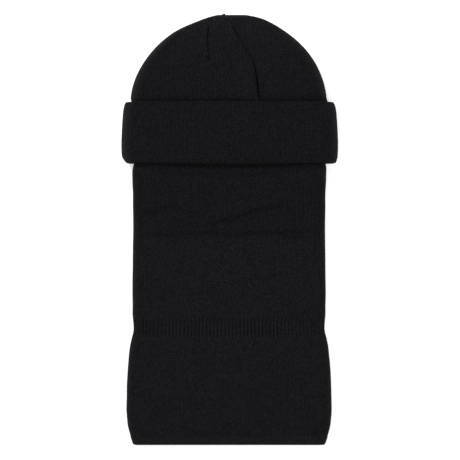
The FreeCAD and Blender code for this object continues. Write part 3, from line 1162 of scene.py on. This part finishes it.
cuffInset = smoothCurve([  # the outside rolls under towards the fold, and the free edge stands up a little
    (cuffLow - 2, 3.2), (cuffLow, 2.8), (cuffLow + 2.5, 1.7), (cuffLow + 6, 0.8), (cuffLow + 12, 0.2),
    (cuffLow + 20, 0.0),
    (cuffHigh - 8, 0.05), (cuffHigh - 4.5, 0.3), (cuffHigh - 2.5, 0.1), (cuffHigh, 0.0),
])
cuffGirth = girth(cuffReach, cuffUnder, cuffOver)


def cuffSpot(share, up, inset=0.0):
    outer = max(0.0, 1 - inset / cuff["wall"])
    tuck = cuffInset(up) * (cuff["innerTuck"] + (1 - cuff["innerTuck"]) * outer)
    lip = cuff["lip"] * (1 - outer) * (1 - ease(cuffLow, cuffLow + cuff["lipHeight"], up))
    half = cuffHalf(up) - inset - tuck * cuff["sideTuck"] - lip
    x, z = oval(share, half, cuffUnder + inset + tuck * cuff["backTuck"] * outer, cuffOver - inset - tuck)
    middle = (cuffUnder + cuffOver) / 2
    rise = min(max((z - middle) / (cuffOver - inset - tuck - middle), 0), 1)
    wide, tall = cuff["swellSize"]
    away = hypot(x / wide, (up - cuffLow - cuff["swellUp"]) / tall)
    z += rise ** 3 * (swells(x, up, cuff["waves"]) + (cuff["swell"] * hill(away, 1.0) - cuff["sink"]))
    curve = cos(min(abs(x) / cuff["bowReach"], 1) * pi) * cuff["bowCurve"] - cuff["bowShift"]
    bow = cuff["bow"] * (1 - ease(cuffLow, cuffLow + cuff["bowHeight"], up)) * curve
    wander = swells(x, 0, [cuff["wander"]]) * ease(cuffHigh - cuff["wanderHeight"], cuffHigh, up)
    lean = cuff["lean"] * (1 - ease(cuffLow, cuffLow + cuff["leanHeight"], up))
    shift = sideways(cuffLow + cuff["middle"]) + lean
    return point(x + shift, up - rise * bow + wander * rise, max(z, 0.0))


cuffLoop = roundedLoop(cuffLow, cuffHigh, 0.0, cuff["wall"], cuff["roll"], cuff["topRound"], cuff["step"])
turnedCuff = profileRing(
    "turnedCuff", cuffLoop, cuffSpot, cuffGirth, point(0, (cuffLow + cuffHigh) / 2, cuffOver / 2),
    int(cuffGirth / cuff["step"]), "fine_rib_knit",
)
edgeStitching = {"pitch": 2.15, "length": 2.0, "width": 0.85, "lean": 1.25, "drop": 0.6, "lift": 0.0}
cuffEdge = stitchRound("cuffEdge", edgeStitching, cuffGirth, cuffSpot, cuffHigh, "welt_knit")
print("cuff made")

# the tube inside the hat: the nape with its side edges, and the mask's two halves
nape = {"knit": 2.0, "columns": 170, "rows": 70}


def cornerShare(up):
    # the share of the way round at which the left side edge meets the flat front
    half, under, over = tubeHalf(up), tubeUnder(up), tubeOver(up)
    radius = (over - under) / 2
    return ((half - radius) + pi * radius) / girth(half, under, over)


def napeSpot(a, b):
    up = foldTop + (attachHigh - foldTop) * b
    corner = cornerShare(up)
    return tubeSpot((1 - corner + 2 * corner * a) % 1.0, up)


def napeCloth(a, b, place):
    up = foldTop + (attachHigh - foldTop) * b
    corner = cornerShare(up)
    return (1 - corner + 2 * corner * a) * tubeGirth * mm, up * mm


napeShell = newPiece("napeShell", nape["columns"], nape["rows"], napeSpot, napeCloth, point(0, 290, 12))
thicken(napeShell, nape["knit"])
dress(napeShell, "fine_rib_knit")

mask = {
    "knit": 2.0, "columns": 62, "rows": 64, "edgeRise": (4.2, 22.4), "rounds": 3,
    "corner": 98, "pullAcross": 0.7436, "pullUp": 0.6685, "pull": 0.0508,
}


def eyeEdge(inward):
    # the front's free edge dips across the eye opening and rises to the seam at its ends
    return maskTop + (attachLow - maskTop) * (1 - ease(*mask["edgeRise"], inward))


def maskSpotOn(side):
    def spot(a, b):
        probe = foldTop + (maskTop - foldTop) * b
        for _ in range(mask["rounds"]):  # the edge's level and the place across depend on each other
            corner = cornerShare(probe)
            share = corner + (0.5 - corner) * a
            x = abs(tubeSpot(share, probe).x / mm)
            flat = tubeHalf(probe) - (tubeOver(probe) - tubeUnder(probe)) / 2
            top = eyeEdge(max(flat - x, 0))
            probe = foldTop + (top - foldTop) * b
        return tubeSpot(share if side < 0 else 1 - share, probe)
    return spot


def maskClothOn(side):
    def cloth(a, b, place):
        up = (place.y - hemLine) / mm
        share = cornerShare(up) + (0.5 - cornerShare(up)) * a
        return (share if side < 0 else 1 - share) * tubeGirth * mm, up * mm
    return cloth


maskHalves = []
for side, name in ((-1, "maskLeft"), (1, "maskRight")):
    behind = point(side * 50, 270, -400)
    piece = newPiece(name, mask["columns"], mask["rows"], maskSpotOn(side), maskClothOn(side), behind)
    thicken(piece, mask["knit"])
    dress(piece, "fine_rib_knit")
    maskHalves.append(piece)
print("nape and mask made")

linking = {"count": 92, "lean": 0.6, "lift": 0.2, "length": attachHigh - attachLow + 1.2, "width": 2.2}
seamHalf = reach("mask_attach_seam")
seamLow, seamHigh = heights("mask_attach_seam")
seamHeight = (seamLow + seamHigh) / 2 + linking["lift"]
places = []
for i in range(linking["count"]):
    x = -seamHalf + 2 * seamHalf * i / (linking["count"] - 1)
    lean = Vector((linking["lean"] if i % 2 else -linking["lean"], 1, 0))
    places.append((point(x, (attachLow + attachHigh) / 2, seamHeight), lean, upwards))
attachSeam = grains("attachSeam", places, linking)

bartack = {"count": 9, "lean": 0.12, "drop": 0.0004, "width": 1.0}
tackPieces = {}
for node, name in (("left_bartack", "leftBartack"), ("right_bartack", "rightBartack")):
    low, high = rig.box(node)
    middle = (low + high) / 2
    places = []
    for i in range(bartack["count"]):
        x = low.x + (high.x - low.x) * (i + 0.5) / bartack["count"]
        spot = Vector((x, middle.y, middle.z - bartack["drop"]))
        places.append((spot, Vector((bartack["lean"], 1, 0)), upwards))
    tackPieces[node] = grains(name, places, {**bartack, "length": (high.y - low.y) / mm})

label = {
    "columns": 16, "rows": 20, "thickness": 0.3, "lift": 0.0006, "curl": 0.0028, "evenCurl": 0.7,
    "wave": 0.0004, "waves": 5,
}
labelLow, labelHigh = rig.box("care_label")


def labelSpot(a, b):
    x = labelLow.x + (labelHigh.x - labelLow.x) * a
    y = labelLow.y + (labelHigh.y - labelLow.y) * b
    share = label["evenCurl"] + (1 - label["evenCurl"]) * sin(a * pi)
    lift = label["curl"] * (1 - b) ** 2 * share + label["wave"] * sin(a * label["waves"])
    return Vector((x, y, labelLow.z + label["lift"] + lift))


def labelCloth(a, b, place):
    return a * (labelHigh.x - labelLow.x), b * (labelHigh.y - labelLow.y)


below = Vector((labelLow.x, labelLow.y, -1))
careLabel = newPiece("careLabel", label["columns"], label["rows"], labelSpot, labelCloth, below)
thicken(careLabel, label["thickness"])
dress(careLabel, "woven_label")
print("seam, tacks and label made")

# what each piece rides on and stands for
hatNodes = ["hat_body", "crown_front_gore", "crown_back_gore", "crown_left_gore", "crown_right_gore"]
riding = [
    (crownShell, "hat", hatNodes),
    (dartStitches, "hat", ["front_left_dart_seam", "front_right_dart_seam"]),
    (backDartStitches, "hat", ["back_left_dart_seam", "back_right_dart_seam"]),
    (closingTack, "hat", ["crown_closing_tack"]),
    (napeShell, "hat", ["nape_panel", "mask_left_seam", "mask_right_seam"]),
    (attachSeam, "hat", ["mask_attach_seam"]),
    (tackPieces["left_bartack"], "hat", ["left_bartack"]),
    (tackPieces["right_bartack"], "hat", ["right_bartack"]),
    (careLabel, "hat", ["care_label"]),
    (turnedCuff, "cuff", ["cuff_fold_roll", "cuff_turned_layer"]),
    (cuffEdge, "cuff", ["cuff_welt"]),
    (neckSleeve, "lower_tube", ["neck_front_panel", "neck_back_panel", "neck_left_seam", "neck_right_seam"]),
    (ribBand, "lower_tube", ["rib_neck_band"]),
    (bibSleeve, "lower_tube", ["bib_front_panel", "bib_back_panel", "bib_left_seam", "bib_right_seam"]),
    (bibHem, "lower_tube", ["bib_hem"]),
    (hemStitches, "lower_tube", ["hem_stitches"]),
]
for piece, body, nodes in riding:
    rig.ride(piece, body)
    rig.replaces(piece, *nodes)
foldHeight = 15
foldEnds = [point(0, up, foldHeight) for up in (foldTop, foldMiddle, foldBottom)]
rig.blend(foldUpper, "hat", "fold", start=foldEnds[0], end=foldEnds[1])
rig.blend(foldLower, "fold", "lower_tube", start=foldEnds[1], end=foldEnds[2])
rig.replaces(foldUpper, "crease_strip")
for side, piece in zip((-1, 1), maskHalves):
    start = point(side * mask["corner"], attachLow, 0)
    end = start + Vector((-side * mask["pullAcross"], mask["pullUp"], 0)) * mask["pull"]
    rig.blend(piece, "hat", "mask_edge", start=start, end=end)
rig.replaces(maskHalves[0], "mask_front_panel")
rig.replaces(maskHalves[1], "eye_opening_edge")

bm = bmesh.new()
bmesh.ops.create_grid(bm, x_segments=1, y_segments=1, size=4)
bmesh.ops.translate(bm, verts=bm.verts, vec=(0, 0, -0.0003))
floor = finishMesh("floor", bm)
paper = Finish("paper")
matte = paper.flow("ShaderNodeBsdfPrincipled", {}, {
    "Base Color": (0.9, 0.9, 0.9, 1), "Roughness": 0.9, "Specular IOR Level": 0.0,
    "Emission Color": (1, 1, 1, 1), "Emission Strength": 0.45,
})
paper.node("ShaderNodeOutputMaterial", {}, {"Surface": matte})
floor.data.materials.append(paper.material)
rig.stage(floor)

# the flat size each stretch of knit would have if it were cut open
laid = {
    "bibFlare": 24, "hemTurn": 1.6, "napeShare": 0.55, "maskShare": 0.225, "maskCurve": 8,
    "label": (24, 30), "crownArea": 0.059,
}
sheets = [
    (bibSleeve, tubeGirth + laid["bibFlare"], bandLow - hemTop, "laid", [hemStitches]),
    (bibHem, tubeGirth, hemTop + laid["hemTurn"], "folded", []),
    (ribBand, tubeGirth * ribs["takeUp"], bandHigh - bandLow, "laid", []),
    (neckSleeve, tubeGirth, foldBottom - bandHigh, "laid", []),
    (foldUpper, tubeGirth, foldTop - foldMiddle, "laid", []),
    (foldLower, tubeGirth, foldMiddle - foldBottom, "laid", []),
    (napeShell, tubeGirth * laid["napeShare"], attachHigh - foldTop, "laid", [attachSeam]),
    (maskHalves[0], tubeGirth * laid["maskShare"], maskTop - foldTop + laid["maskCurve"], "laid", []),
    (maskHalves[1], tubeGirth * laid["maskShare"], maskTop - foldTop + laid["maskCurve"], "laid", []),
    (turnedCuff, cuffGirth, cuffHigh - cuffLow, "folded", [cuffEdge]),
    (careLabel, *laid["label"], "laid", []),
]
for piece, width, length, held, extras in sheets:
    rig.sheet(piece, flat=(width * mm, length * mm), held=held, rests_on=[floor], with_pieces=extras)
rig.sheet(
    crownShell, flat=(tubeGirth * mm, (crownTop - hatLow) * mm), held="laid", rests_on=[floor],
    area=laid["crownArea"], with_pieces=[dartStitches, backDartStitches, closingTack],
)

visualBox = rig.bounds()
with open("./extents.json", "w") as sizes:
    json.dump({"cad": [list(v) for v in cadBox], "visual": [list(v) for v in visualBox]}, sizes)
print("sizes written")
